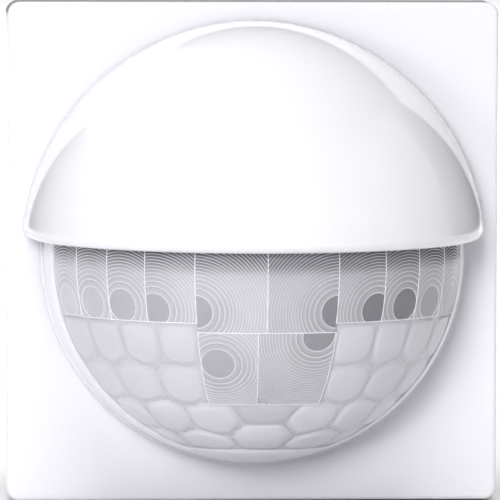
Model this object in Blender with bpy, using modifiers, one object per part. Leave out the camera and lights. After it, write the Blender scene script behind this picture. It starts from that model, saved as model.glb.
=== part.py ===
"""Flush wall motion sensor: a square cover plate with a half-dome hood and a lens dome, plugged on a relay
insert that a steel ring holds in a round wall box.

World frame, in metres: +Z up, +X to the right for a person facing the unit, and -Y out of the wall into the
room. The origin is on the wall's surface, which is the back face of the steel ring, at the box's middle.
"""
import math

import bmesh
import bpy
from mathutils import Euler, Matrix, Vector

MM = 0.001
GAP = 0.3 * MM                          # clearance between neighbouring pieces

# Cover plate: a shell that is open to the wall, with a round hole for the head's neck
PLATE_WIDTH = 70.4 * MM
PLATE_HEIGHT = 71.6 * MM
PLATE_DEPTH = 8.5 * MM
PLATE_WALL = 2.0 * MM
PLATE_CORNER = 1.8 * MM
PLATE_EDGE = 0.6 * MM

# The hood, the lens and the control housing are shells about one centre, just in front of the plate
DOME_CENTRE_Y = -9.0 * MM
HOOD_RADIUS = 33.2 * MM
HOOD_WALL = 2.0 * MM
HOOD_BOTTOM_Z = 2.0 * MM
LENS_RADIUS = 30.2 * MM
LENS_WALL = 1.0 * MM
LENS_TOP_Z = 3.2 * MM                   # the lens reaches up inside the hood
HOUSING_RADIUS = 28.5 * MM
HOUSING_WALL = 1.6 * MM
HOUSING_BOTTOM_Z = 1.9 * MM
DOME_STEPS = 48
DISC_STEPS = 36                         # of boards, rings and the insert

# Head base: a round cup whose neck passes through the plate
FLANGE_RADIUS = 30.6 * MM
FLANGE_THICKNESS = 1.5 * MM
FLANGE_TOP_Z = 1.6 * MM
COLLAR_RADIUS = 29.0 * MM
NECK_RADIUS = 27.0 * MM
NECK_WALL = 1.8 * MM
FLOOR_FRONT = 6.2 * MM
FLOOR_BACK = 4.4 * MM
LEG_RADIUS = 26.9 * MM
LEG_SIZE = (2.0 * MM, 8.0 * MM)         # radial thickness and width
LEG_REACH = 1.2 * MM                    # how far the legs pass the wall's surface

# Control face: a flat facet of the housing that looks forwards and up
FACE_TILT = math.radians(45)
FACE_DISTANCE = 22.5 * MM               # from the dome's centre
DIAL_RADIUS = 4.0 * MM
DIAL_SPACING = 11.0 * MM
SHAFT_RADIUS = 1.5 * MM
DIAL_ROW = -4.0 * MM
SWITCH_ROW = 7.5 * MM
SWITCH_TRAVEL = 2.5 * MM
KNOB_HALF = 2.3 * MM                    # half the mode knob's length along its travel
CONTROL_BOARD_FRONT = 16.2 * MM         # from the dome's centre, as is the next
POTENTIOMETER_FRONT = 20.3 * MM

# Sensor board and what stands on it, measured outwards from the wall
BOARD_RADIUS = 24.0 * MM
BOARD_THICKNESS = 1.6 * MM
BOARD_FRONT = 10.6 * MM
POST_OFFSET = 14.5 * MM
BOARD_SCREW_RADIUS = 1.0 * MM
DETECTOR_ANGLE = math.radians(40)
DETECTOR_Z = -4.25 * MM
BRACKET_HALF_WIDTH = 15.0 * MM
BRACKET_NOSE = 3.0 * MM
BRACKET_HEIGHT = 10.5 * MM

# Support ring
RING_SIZE = 65.6 * MM
RING_THICKNESS = 1.2 * MM
RING_CHAMFER = 7.0 * MM
RING_OPENING = 17.0 * MM
SCREW_SPACING = 60.0 * MM               # of the box's own screws
BOX_SLOT_RADIUS = 1.8 * MM
BOX_SLOT_LENGTH = 8.6 * MM
INSERT_SCREW_Z = 20.5 * MM
CLAW_SCREW_X = 21.0 * MM
RING_SCREW_HOLE = 1.8 * MM

# Relay insert, behind the wall's surface
INSERT_RADIUS = 25.5 * MM
INSERT_WALL = 1.8 * MM
INSERT_DEPTH = 30.0 * MM
POCKET_X = 19.2 * MM                    # inner side of the two claw pockets
POCKET_HALF_HEIGHT = 5.0 * MM
INNER_SIDE_X = POCKET_X - INSERT_WALL   # the pockets' walls, seen from inside
INNER_SIDE_HEIGHT = POCKET_HALF_HEIGHT + INSERT_WALL
POWER_BOARD_Y = 5.0 * MM
SOCKET_FRONT = 2.6 * MM
SOCKET_BACK = 4.7 * MM
PIN_PITCH = 2.54 * MM
PIN_COUNT = 5
PIN_WIDTH = 0.8 * MM
TERMINAL_SPACING = 9.4 * MM
TERMINAL_Z = -12.6 * MM
WIRE_Z = -14.6 * MM
BUTTON_Z = -10.2 * MM

# Claws
CLAW_PIVOT = Vector((23.3, 3.4, 0.0)) * MM
CLAW_LENGTH = 18.8 * MM
CLAW_THICKNESS = 1.0 * MM
CLAW_WIDTH = 7.2 * MM

FRONT = Matrix.Rotation(math.pi / 2, 4, "X")        # turns +Z to the room, -Y
BACK = Matrix.Rotation(-math.pi / 2, 4, "X")        # turns +Z into the wall, +Y
ALONG_X = Matrix.Rotation(math.pi / 2, 4, "Y")
UPRIGHT = Matrix.Identity(4)


# ---------------------------------------------------------------- scene, collections and materials

def clear_scene():
    for obj in list(bpy.data.objects):
        bpy.data.objects.remove(obj, do_unlink=True)


def make_collection(name):
    collection = bpy.data.collections.new(name)
    bpy.context.scene.collection.children.link(collection)
    return collection


def make_material(name, color, roughness, metallic=0.0):
    material = bpy.data.materials.new(name)
    material.use_nodes = True
    shader = material.node_tree.nodes["Principled BSDF"]
    shader.inputs["Base Color"].default_value = (*color, 1.0)
    shader.inputs["Roughness"].default_value = roughness
    shader.inputs["Metallic"].default_value = metallic
    return material


clear_scene()
PARTS = make_collection("motion_sensor")
CUTTERS = make_collection("cutters")

WHITE_GLOSS = make_material("white_gloss", (0.86, 0.87, 0.87), 0.12)
LENS_WHITE = make_material("lens_white", (0.70, 0.72, 0.74), 0.35)
WHITE_MATT = make_material("white_matt", (0.80, 0.80, 0.78), 0.45)
GREY_PLASTIC = make_material("grey_plastic", (0.33, 0.35, 0.37), 0.5)
BLACK_PLASTIC = make_material("black_plastic", (0.03, 0.03, 0.03), 0.45)
BLUE_PLASTIC = make_material("blue_plastic", (0.05, 0.16, 0.40), 0.4)
ORANGE_PLASTIC = make_material("orange_plastic", (0.75, 0.25, 0.04), 0.4)
BOARD_GREEN = make_material("board_green", (0.03, 0.22, 0.10), 0.4)
ZINC_STEEL = make_material("zinc_steel", (0.62, 0.63, 0.65), 0.35, 1.0)
BRASS = make_material("brass", (0.75, 0.58, 0.28), 0.3, 1.0)
DARK_WINDOW = make_material("dark_window", (0.05, 0.05, 0.06), 0.15)
BROWN_PLASTIC = make_material("brown_plastic", (0.25, 0.12, 0.06), 0.4)
CLEAR_LED = make_material("clear_led", (0.75, 0.20, 0.15), 0.1)


# ---------------------------------------------------------------- shapes, each added to one bmesh

def add_box(bm, low, high):
    """A box between two opposite corners."""
    low, high = Vector(low), Vector(high)
    size = high - low
    place = Matrix.Translation((low + high) / 2) @ Matrix.Diagonal((*size, 1.0))
    return bmesh.ops.create_cube(bm, size=1.0, matrix=place)["verts"]


def add_cylinder(bm, radius, start, end, centre=(0.0, 0.0), turn=UPRIGHT, segments=24, stretch=0.0):
    """A cylinder along the local Z of turn, from start to end. stretch pulls its halves apart into a slot."""
    x, y = centre
    place = turn @ Matrix.Translation((x, y, (start + end) / 2))
    half_step = Matrix.Rotation(math.pi / segments, 4, "Z")
    verts = bmesh.ops.create_cone(bm, cap_ends=True, segments=segments, radius1=radius, radius2=radius,
                                  depth=end - start, matrix=half_step)["verts"]
    for vert in verts:
        vert.co.x += math.copysign(stretch / 2, vert.co.x)
        vert.co = place @ vert.co
    return verts


def make_object(name, bm, material=None, parent=None, location=(0, 0, 0), rotation=(0, 0, 0)):
    """A visible part when it has a material, and a hidden cutter when it has none."""
    mesh = bpy.data.meshes.new(name)
    bm.to_mesh(mesh)
    bm.free()
    if mesh.polygons:
        mesh.shade_smooth()
        mesh.set_sharp_from_angle(angle=math.radians(35))
    obj = bpy.data.objects.new(name, mesh)
    obj.location = location
    obj.rotation_euler = rotation
    obj.parent = parent
    if material is None:
        obj.hide_render = True
        obj.display_type = "WIRE"
        CUTTERS.objects.link(obj)
    else:
        mesh.materials.append(material)
        PARTS.objects.link(obj)
    return obj


def box(name, low, high, material=None, **place):
    bm = bmesh.new()
    add_box(bm, low, high)
    return make_object(name, bm, material, **place)


def boxes(name, corners, **place):
    """One cutter of several separate boxes."""
    bm = bmesh.new()
    for low, high in corners:
        add_box(bm, low, high)
    return make_object(name, bm, **place)


def cylinder(name, radius, start, end, material=None, centre=(0.0, 0.0), turn=UPRIGHT, segments=24, **place):
    bm = bmesh.new()
    add_cylinder(bm, radius, start, end, centre, turn, segments)
    return make_object(name, bm, material, **place)


def turned(name, profile, material=None, steps=24, closed=False, rotation=(math.pi / 2, 0, 0), **place):
    """A profile of (radius, height) turned about local Z. It runs down its outer side."""
    bm = bmesh.new()
    verts = [bm.verts.new((radius, 0.0, height)) for radius, height in profile]
    for first, second in zip(verts, verts[1:]):
        bm.edges.new((first, second))
    if closed:
        bm.edges.new((verts[-1], verts[0]))
    obj = make_object(name, bm, material, rotation=rotation, **place)
    screw = obj.modifiers.new("Turn", "SCREW")
    screw.steps = steps
    screw.render_steps = steps
    screw.use_merge_vertices = True
    screw.merge_threshold = 1e-6
    return obj


def boolean(obj, other, operation):
    modifier = obj.modifiers.new(f"{operation.title()} {other.name}", "BOOLEAN")
    modifier.operation = operation
    modifier.object = other
    return obj


def cut(obj, *cutters):
    for cutter in cutters:
        boolean(obj, cutter, "DIFFERENCE")
    return obj


def join(obj, *others):
    for other in others:
        boolean(obj, other, "UNION")
    return obj


def arc(radius, centre_height, steps, end=0.0):
    """Points (radius, height) from a dome's top down to an angle, in radians above its equator."""
    points = [(0.0, centre_height + radius)]
    for step in range(1, steps + 1):
        angle = math.pi / 2 + (end - math.pi / 2) * step / steps
        points.append((radius * math.cos(angle), centre_height + radius * math.sin(angle)))
    return points


def dome_arc(radius, back):
    """An arc about the dome's centre that ends at a height of back."""
    end = math.asin((back + DOME_CENTRE_Y) / radius)
    return arc(radius, -DOME_CENTRE_Y, DOME_STEPS // 4, end)


def dome_shell(name, radius, wall, back, material):
    """A hollow dome that is open at the back."""
    inner = dome_arc(radius - wall, back)
    inner.reverse()
    return turned(name, [*dome_arc(radius, back), *inner], material, steps=DOME_STEPS)


def dome_solid(name, radius, back, material=None):
    return turned(name, [*dome_arc(radius, back), (0.0, back)], material, steps=DOME_STEPS)


REACH = 60.0 * MM                       # half the size of cutters that remove one side of a piece


def above(name, z):
    return box(name, (-REACH, -REACH, z), (REACH, REACH, REACH))


def below(name, z):
    return box(name, (-REACH, -REACH, -REACH), (REACH, REACH, z))


# ---------------------------------------------------------------- cover plate and head base

def make_cover_plate():
    half_x, half_z = PLATE_WIDTH / 2, PLATE_HEIGHT / 2
    bm = bmesh.new()
    add_box(bm, (-half_x, -PLATE_DEPTH, -half_z), (half_x, 0, half_z))
    depth_edges = [e for e in bm.edges if abs(e.verts[0].co.y - e.verts[1].co.y) > PLATE_DEPTH / 2]
    bmesh.ops.bevel(bm, geom=depth_edges, offset=PLATE_CORNER, segments=5, profile=0.5, affect="EDGES")
    front_edges = [e for e in bm.edges if all(v.co.y < -PLATE_DEPTH + 1e-6 for v in e.verts)]
    bmesh.ops.bevel(bm, geom=front_edges, offset=PLATE_EDGE, segments=3, profile=0.5, affect="EDGES")
    plate = make_object("cover_plate", bm, WHITE_GLOSS)
    inside_x, inside_z = half_x - PLATE_WALL, half_z - PLATE_WALL
    hollow = box("plate_hollow", (-inside_x, -PLATE_DEPTH + PLATE_WALL, -inside_z),
                 (inside_x, REACH, inside_z))
    hole = cylinder("plate_hole", NECK_RADIUS + GAP, 0, REACH, turn=FRONT, segments=DOME_STEPS)
    return cut(plate, hollow, hole)


def make_head_base():
    flange_front = PLATE_DEPTH + GAP + FLANGE_THICKNESS
    flange_back = PLATE_DEPTH + GAP
    inner = NECK_RADIUS - NECK_WALL
    profile = [(0, FLOOR_FRONT), (inner, FLOOR_FRONT), (inner, flange_front), (COLLAR_RADIUS, flange_front),
               (COLLAR_RADIUS, flange_back), (NECK_RADIUS, flange_back), (NECK_RADIUS, FLOOR_BACK),
               (0, FLOOR_BACK)]
    base = turned("head_base", profile, WHITE_MATT, steps=DOME_STEPS)

    root = COLLAR_RADIUS - 0.6 * MM
    rim = [(root, flange_front), (FLANGE_RADIUS, flange_front),
           (FLANGE_RADIUS, flange_back), (root, flange_back)]
    flange = turned("flange_ring", rim, steps=DOME_STEPS, closed=True)
    cut(flange, above("flange_top", FLANGE_TOP_Z))

    posts = bmesh.new()
    holes = bmesh.new()
    legs = bmesh.new()
    thickness, width = LEG_SIZE
    for quarter in range(4):
        angle = math.radians(45 + 90 * quarter)
        x = math.copysign(POST_OFFSET, math.cos(angle))
        z = math.copysign(POST_OFFSET, math.sin(angle))
        post_front = BOARD_FRONT - BOARD_THICKNESS - GAP
        add_cylinder(posts, 2.8 * MM, FLOOR_BACK + 0.5 * MM, post_front, (x, z), FRONT)
        add_cylinder(holes, BOARD_SCREW_RADIUS + GAP, FLOOR_FRONT, REACH, (x, z), FRONT, segments=16)
        turn = Matrix.Rotation(angle, 4, "Y")
        verts = add_box(legs, (LEG_RADIUS - thickness / 2, -FLOOR_BACK - GAP, -width / 2),
                        (LEG_RADIUS + thickness / 2, LEG_REACH, width / 2))
        bmesh.ops.transform(legs, matrix=turn, verts=verts)
    plug_hole = box("plug_hole", (-7.5 * MM, -REACH, -4.0 * MM), (7.5 * MM, 0, 4.0 * MM))
    join(base, flange, make_object("base_posts", posts), make_object("base_legs", legs))
    return cut(base, make_object("post_holes", holes), plug_hole)


def make_retaining_ring():
    inner = NECK_RADIUS + GAP
    outer = 30.5 * MM
    front, back = PLATE_DEPTH - PLATE_WALL - GAP, 5.0 * MM
    profile = [(inner, front), (outer, front), (outer, back), (inner, back)]
    return turned("retaining_ring", profile, GREY_PLASTIC, steps=DISC_STEPS, closed=True)


# ---------------------------------------------------------------- hood, lens and control housing

def make_hood():
    hood = dome_shell("hood", HOOD_RADIUS, HOOD_WALL, PLATE_DEPTH + GAP, WHITE_GLOSS)
    inner = HOOD_RADIUS - HOOD_WALL
    catches = bmesh.new()
    for side in (-1, 1):
        near, far = sorted((side * (inner - 1.3 * MM), side * (inner + 0.6 * MM)))
        add_box(catches, (near, -12.0 * MM, 5.0 * MM), (far, -9.2 * MM, 8.0 * MM))
    join(hood, make_object("hood_catches", catches))
    return cut(hood, below("hood_lower_half", HOOD_BOTTOM_Z))


def make_lens():
    back = PLATE_DEPTH + GAP + FLANGE_THICKNESS + GAP
    lens = dome_shell("fresnel_lens", LENS_RADIUS, LENS_WALL, back, LENS_WHITE)
    return cut(lens, above("lens_upper_half", LENS_TOP_Z))


def make_control_frame():
    """Its local axes on the control face: X to the right, Y up the face and Z out of it."""
    frame = bpy.data.objects.new("control_frame", None)
    frame.location = (0, DOME_CENTRE_Y, 0)
    frame.rotation_euler = (FACE_TILT, 0, 0)
    PARTS.objects.link(frame)
    return frame


def make_control_housing(frame):
    back = PLATE_DEPTH + GAP + FLANGE_THICKNESS + GAP
    inner_face = FACE_DISTANCE - HOUSING_WALL
    housing = dome_solid("control_housing", HOUSING_RADIUS, back, WHITE_MATT)
    cut(housing, box("face_cut", (-REACH, -REACH, FACE_DISTANCE), (REACH, REACH, REACH), parent=frame))
    hollow = dome_solid("housing_hollow", HOUSING_RADIUS - HOUSING_WALL, back - 5 * MM)
    cut(hollow, box("inner_face_cut", (-REACH, -REACH, inner_face), (REACH, REACH, REACH), parent=frame))
    cut(housing, hollow, below("housing_lower_half", HOUSING_BOTTOM_Z))

    standoffs = bmesh.new()
    openings = bmesh.new()
    for side in (-1, 1):
        place = (side * DIAL_SPACING / 2, DIAL_ROW)
        add_cylinder(standoffs, 1.0 * MM, CONTROL_BOARD_FRONT + GAP, inner_face + GAP, place, segments=16)
    for column in (-1, 0, 1):
        place = (column * DIAL_SPACING, DIAL_ROW)
        add_cylinder(openings, DIAL_RADIUS + 0.4 * MM, POTENTIOMETER_FRONT, FACE_DISTANCE + 5 * MM, place,
                     segments=32)
    slot_half = (KNOB_HALF + SWITCH_TRAVEL + 0.7 * MM, 1.5 * MM)
    add_box(openings, (-slot_half[0], SWITCH_ROW - slot_half[1], POTENTIOMETER_FRONT),
            (slot_half[0], SWITCH_ROW + slot_half[1], FACE_DISTANCE + 5 * MM))
    join(housing, make_object("standoffs", standoffs, parent=frame))
    return cut(housing, make_object("face_openings", openings, parent=frame))


def make_dials(frame):
    """Each dial turns in the face, and its shaft ends in a potentiometer behind it."""
    for column, name in ((-1, "lux"), (0, "range"), (1, "time")):
        x = column * DIAL_SPACING
        head_back = 0.1 * MM + POTENTIOMETER_FRONT + 0.6 * MM - FACE_DISTANCE
        head_front = 2.0 * MM
        shaft_back = POTENTIOMETER_FRONT - 2.3 * MM - FACE_DISTANCE
        edge = 0.4 * MM
        profile = [(0, head_front), (DIAL_RADIUS - edge, head_front), (DIAL_RADIUS, head_front - edge),
                   (DIAL_RADIUS, head_back), (SHAFT_RADIUS, head_back),
                   (SHAFT_RADIUS, shaft_back), (0, shaft_back)]
        place = {"parent": frame, "location": (x, DIAL_ROW, FACE_DISTANCE), "rotation": (0, 0, 0)}
        dial = turned(f"{name}_dial", profile, ORANGE_PLASTIC, **place)
        slot = ((-2.9 * MM, -0.5 * MM, head_front - 1.1 * MM), (2.9 * MM, 0.5 * MM, REACH))
        pointer = ((-0.4 * MM, DIAL_RADIUS - 1.2 * MM, head_front - 0.5 * MM), (0.4 * MM, REACH, REACH))
        cut(dial, boxes(f"{name}_dial_slots", (slot, pointer), **place))

        half = 3.5 * MM
        back = CONTROL_BOARD_FRONT + GAP
        pot = box(f"{name}_potentiometer", (x - half, DIAL_ROW - half, back),
                  (x + half, DIAL_ROW + half, POTENTIOMETER_FRONT), BLUE_PLASTIC, parent=frame)
        hole_bottom = POTENTIOMETER_FRONT - 2.7 * MM
        cut(pot, cylinder(f"{name}_shaft_hole", SHAFT_RADIUS + 0.4 * MM, hole_bottom, REACH,
                          centre=(x, DIAL_ROW), parent=frame))


def make_mode_switch(frame):
    back = CONTROL_BOARD_FRONT + GAP
    body = box("mode_switch", (-6.5 * MM, SWITCH_ROW - 3 * MM, back), (6.5 * MM, SWITCH_ROW + 3 * MM,
               POTENTIOMETER_FRONT), BLACK_PLASTIC, parent=frame)
    cut(body, box("switch_well", (-5.3 * MM, SWITCH_ROW - 1.5 * MM, POTENTIOMETER_FRONT - 2.4 * MM),
                  (5.3 * MM, SWITCH_ROW + 1.5 * MM, REACH), parent=frame))

    top = 1.6 * MM
    bottom = POTENTIOMETER_FRONT - 2.0 * MM - FACE_DISTANCE
    place = {"parent": frame, "location": (0, SWITCH_ROW, FACE_DISTANCE)}
    knob = box("mode_knob", (-KNOB_HALF, -1.2 * MM, bottom), (KNOB_HALF, 1.2 * MM, top), BLACK_PLASTIC,
               **place)
    groove = 0.25 * MM
    grooves = []
    for column in (-1, 0, 1):
        x = column * 1.2 * MM
        grooves.append(((x - groove, -REACH, top - 2 * groove), (x + groove, REACH, REACH)))
    return cut(knob, boxes("knob_grooves", grooves, **place))


def make_control_board(frame):
    return box("control_board", (-15 * MM, -9 * MM, CONTROL_BOARD_FRONT - BOARD_THICKNESS),
               (15 * MM, 10.5 * MM, CONTROL_BOARD_FRONT), BOARD_GREEN, parent=frame)


# ---------------------------------------------------------------- sensor board and detectors

def make_sensor_board():
    board = cylinder("sensor_board", BOARD_RADIUS, BOARD_FRONT - BOARD_THICKNESS, BOARD_FRONT, BOARD_GREEN,
                     turn=FRONT, segments=DISC_STEPS)
    holes = bmesh.new()
    number = 0
    for x in (-POST_OFFSET, POST_OFFSET):
        for z in (-POST_OFFSET, POST_OFFSET):
            number += 1
            add_cylinder(holes, BOARD_SCREW_RADIUS + GAP, 0, REACH, (x, z), FRONT, segments=16)
            head_back = BOARD_FRONT + GAP
            head_front = head_back + 1.4 * MM
            profile = [(0, head_front), (1.6 * MM, head_front), (2.1 * MM, head_front - 0.6 * MM),
                       (2.1 * MM, head_back), (BOARD_SCREW_RADIUS, head_back),
                       (BOARD_SCREW_RADIUS, FLOOR_FRONT + GAP), (0, FLOOR_FRONT + GAP)]
            place = {"location": (x, 0, z), "rotation": (math.pi / 2, 0, 0)}
            screw = turned(f"board_screw_{number}", profile, ZINC_STEEL, steps=16, **place)
            slot = ((-1.1 * MM, -0.25 * MM, head_front - 0.7 * MM), (1.1 * MM, 0.25 * MM, REACH))
            cut(screw, boxes(f"board_screw_slot_{number}", [slot], **place))
    cut(board, make_object("board_holes", holes))


def make_sensor_bracket():
    """A wedge whose two front faces turn the detectors to the left and to the right."""
    back = BOARD_FRONT + GAP
    shoulder = back + 1.3 * MM
    nose = shoulder + (BRACKET_HALF_WIDTH - BRACKET_NOSE) * math.tan(DETECTOR_ANGLE)
    outline = [(-BRACKET_HALF_WIDTH, back), (BRACKET_HALF_WIDTH, back), (BRACKET_HALF_WIDTH, shoulder),
               (BRACKET_NOSE, nose), (-BRACKET_NOSE, nose), (-BRACKET_HALF_WIDTH, shoulder)]
    curve = bpy.data.curves.new("sensor_bracket", "CURVE")
    curve.dimensions = "2D"
    curve.fill_mode = "BOTH"
    curve.extrude = BRACKET_HEIGHT / 2
    spline = curve.splines.new("POLY")
    spline.points.add(len(outline) - 1)
    for point, (x, y) in zip(spline.points, outline):
        point.co = (x, y, 0, 1)
    spline.use_cyclic_u = True
    curve.materials.append(GREY_PLASTIC)
    bracket = bpy.data.objects.new("sensor_bracket", curve)
    bracket.rotation_euler = (math.pi, 0, 0)
    bracket.location = (0, 0, DETECTOR_Z)
    PARTS.objects.link(bracket)
    return shoulder


def make_detectors(shoulder):
    """Two metal cans, each with a dark window in a recess of its front."""
    middle = (BRACKET_HALF_WIDTH + BRACKET_NOSE) / 2
    depth = shoulder + (BRACKET_HALF_WIDTH - BRACKET_NOSE) / 2 * math.tan(DETECTOR_ANGLE)
    can_height = 4.2 * MM
    can = [(0, can_height), (3.7 * MM, can_height), (4.1 * MM, can_height - 0.4 * MM), (4.1 * MM, 0.8 * MM),
           (4.6 * MM, 0.8 * MM), (4.6 * MM, 0), (0, 0)]
    for side, name in ((-1, "left"), (1, "right")):
        turn = Euler((math.pi / 2, 0, side * DETECTOR_ANGLE))
        outwards = turn.to_matrix() @ Vector((0, 0, 1))
        place = {"location": Vector((side * middle, -depth, DETECTOR_Z)) + outwards * GAP, "rotation": turn}
        body = turned(f"pyro_can_{name}", can, ZINC_STEEL, steps=32, **place)
        recess = ((-2.5 * MM, -2.0 * MM, can_height - 0.9 * MM), (2.5 * MM, 2.0 * MM, REACH))
        cut(body, boxes(f"pyro_recess_{name}", [recess], **place))
        box(f"pyro_window_{name}", (-2.2 * MM, -1.7 * MM, can_height - 0.6 * MM),
            (2.2 * MM, 1.7 * MM, can_height - 0.1 * MM), DARK_WINDOW, **place)


def make_board_parts():
    back = BOARD_FRONT + GAP
    sensor = [*arc(2.5 * MM, 2.0 * MM, 6), (2.5 * MM, 0), (0, 0)]
    turned("light_sensor", sensor, DARK_WINDOW, steps=20, location=(-6 * MM, -back, -15 * MM))
    led = [*arc(1.5 * MM, 3.0 * MM, 5), (1.5 * MM, 0.8 * MM), (1.9 * MM, 0.8 * MM), (1.9 * MM, 0), (0, 0)]
    turned("status_led", led, CLEAR_LED, steps=20, location=(6 * MM, -back, -15 * MM))
    box("signal_chip", (-3 * MM, -back - 1.1 * MM, -18 * MM), (3 * MM, -back, -12 * MM), BLACK_PLASTIC)
    box("board_link", (-9 * MM, -back - 2.7 * MM, 12 * MM), (9 * MM, -back, 15 * MM), BLACK_PLASTIC)


def make_plug():
    front = BOARD_FRONT - BOARD_THICKNESS - GAP
    back = 3.2 * MM
    plug = box("plug", (-7 * MM, -front, -3.5 * MM), (7 * MM, -back, 3.5 * MM), BLACK_PLASTIC)
    pins = bmesh.new()
    half = PIN_WIDTH / 2
    for number in range(PIN_COUNT):
        x = (number - (PIN_COUNT - 1) / 2) * PIN_PITCH
        add_box(pins, (x - half, -back - GAP, -half), (x + half, 2.4 * MM, half))
    return join(plug, make_object("plug_pins", pins))


# ---------------------------------------------------------------- support ring and its screws

def make_support_ring():
    half = RING_SIZE / 2
    bm = bmesh.new()
    add_box(bm, (-half, -RING_THICKNESS, -half), (half, 0, half))
    corners = [e for e in bm.edges if abs(e.verts[0].co.y - e.verts[1].co.y) > RING_THICKNESS / 2]
    bmesh.ops.bevel(bm, geom=corners, offset=RING_CHAMFER, segments=1, affect="EDGES")
    ring = make_object("support_ring", bm, ZINC_STEEL)

    holes = bmesh.new()
    add_cylinder(holes, RING_OPENING, -REACH, REACH, turn=FRONT, segments=DISC_STEPS)
    for side in (-1, 1):
        add_cylinder(holes, RING_SCREW_HOLE, -REACH, REACH, (side * CLAW_SCREW_X, 0), FRONT, segments=20)
        add_cylinder(holes, RING_SCREW_HOLE, -REACH, REACH, (0, side * INSERT_SCREW_Z), FRONT, segments=20)
    slot = {"segments": 16, "stretch": BOX_SLOT_LENGTH - 2 * BOX_SLOT_RADIUS}
    to_slot = Matrix.Translation((0, 0, SCREW_SPACING / 2)) @ FRONT
    for quarter in range(4):
        turn = Matrix.Rotation(math.pi / 2 * quarter, 4, "Y")
        add_cylinder(holes, BOX_SLOT_RADIUS, -REACH, REACH, turn=turn @ to_slot, **slot)
        verts = add_box(holes, (LEG_RADIUS - 1.4 * MM, -REACH, -LEG_SIZE[1] / 2 - 0.4 * MM),
                        (LEG_RADIUS + 1.4 * MM, REACH, LEG_SIZE[1] / 2 + 0.4 * MM))
        bmesh.ops.transform(holes, matrix=Matrix.Rotation(math.pi / 4, 4, "Y") @ turn, verts=verts)
    return cut(ring, make_object("ring_holes", holes))


def ring_screw(name, x, z, shank_radius, shank_end):
    """A slotted screw whose head rests on the ring's front."""
    head_back = RING_THICKNESS + GAP
    head_front = head_back + 1.6 * MM
    profile = [(0, head_front), (2.1 * MM, head_front), (2.7 * MM, head_front - 0.7 * MM),
               (2.7 * MM, head_back), (shank_radius, head_back), (shank_radius, -shank_end), (0, -shank_end)]
    screw = turned(name, profile, ZINC_STEEL, steps=20, location=(x, 0, z))
    slot = [((-REACH, -0.35 * MM, head_front - 0.8 * MM), (REACH, 0.35 * MM, REACH))]
    return cut(screw, boxes(f"{name}_slot", slot, location=(x, 0, z), rotation=(math.pi / 2, 0, 0)))


def make_ring_screws():
    for side, name in ((-1, "lower"), (1, "upper")):
        ring_screw(f"insert_screw_{name}", 0, side * INSERT_SCREW_Z, 1.25 * MM, 3.8 * MM)
    for side, name in ((-1, "left"), (1, "right")):
        ring_screw(f"claw_screw_{name}", side * CLAW_SCREW_X, 0, 1.4 * MM, 24.0 * MM)


def make_claws():
    """Spreading claws, each hanging on its pivot with its tail towards the back of the box."""
    for side, name in ((-1, "left"), (1, "right")):
        pivot = (side * CLAW_PIVOT.x, CLAW_PIVOT.y, 0)
        half = CLAW_THICKNESS / 2
        claw = box(f"claw_{name}", (-half, -0.5 * MM, -CLAW_WIDTH / 2), (half, CLAW_LENGTH, CLAW_WIDTH / 2),
                   ZINC_STEEL, location=pivot)
        near, far = sorted((side * 0.3 * MM, side * 1.6 * MM))
        teeth = bmesh.new()
        for tooth in (-1, 0, 1):
            z = tooth * 2.6 * MM
            end = CLAW_LENGTH - 0.4 * MM
            add_box(teeth, (near, end - 1.2 * MM, z - 0.6 * MM), (far, end, z + 0.6 * MM))
        pin = cylinder(f"claw_pin_{name}", 0.9 * MM, -4.6 * MM, 4.6 * MM, segments=16, location=pivot)
        join(claw, pin, make_object(f"claw_teeth_{name}", teeth, location=pivot))


# ---------------------------------------------------------------- relay insert

def side_blocks(name, x, half_height, **place):
    """The space of both claw pockets, from x outwards."""
    return boxes(name, (((-REACH, -REACH, -half_height), (-x, REACH, half_height)),
                        ((x, -REACH, -half_height), (REACH, REACH, half_height))), **place)


def make_insert_body():
    inner_radius = INSERT_RADIUS - INSERT_WALL
    place = {"turn": BACK, "segments": DISC_STEPS}
    body = cylinder("insert_body", INSERT_RADIUS, GAP, INSERT_DEPTH, GREY_PLASTIC, **place)
    hollow = cylinder("insert_hollow", inner_radius, -REACH, INSERT_DEPTH - INSERT_WALL, **place)
    cut(hollow, side_blocks("hollow_sides", INNER_SIDE_X, INNER_SIDE_HEIGHT))
    cut(body, side_blocks("claw_pockets", POCKET_X, POCKET_HALF_HEIGHT), hollow)

    bosses = bmesh.new()
    holes = bmesh.new()
    for side in (-1, 1):
        add_cylinder(bosses, 3.4 * MM, GAP, 4.6 * MM, (0, side * INSERT_SCREW_Z), BACK)
        add_cylinder(holes, 1.55 * MM, -REACH, 4.1 * MM, (0, side * INSERT_SCREW_Z), BACK, segments=16)
    for column in (-1, 0, 1):
        x = column * TERMINAL_SPACING
        add_cylinder(holes, 1.7 * MM, INSERT_DEPTH - 3 * MM, REACH, (x, -WIRE_Z), BACK, segments=16)
        add_cylinder(holes, 1.6 * MM, INSERT_DEPTH - 3 * MM, REACH, (x, -BUTTON_Z), BACK, segments=16)
    return cut(join(body, make_object("screw_bosses", bosses)), make_object("insert_holes", holes))


def make_insert_cover():
    radius = INSERT_RADIUS - INSERT_WALL - GAP
    cover = cylinder("insert_cover", radius, 2 * GAP, 2 * GAP + 1.5 * MM, GREY_PLASTIC, turn=BACK,
                     segments=DISC_STEPS)
    notches = bmesh.new()
    for side in (-1, 1):
        add_cylinder(notches, 3.8 * MM, -REACH, REACH, (0, side * INSERT_SCREW_Z), BACK)
    window = box("socket_window", (-9.3 * MM, -REACH, -5.3 * MM), (9.3 * MM, REACH, 5.3 * MM))
    sides = side_blocks("cover_sides", INNER_SIDE_X - GAP, INNER_SIDE_HEIGHT + GAP)
    return cut(cover, make_object("boss_notches", notches), window, sides)


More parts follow.
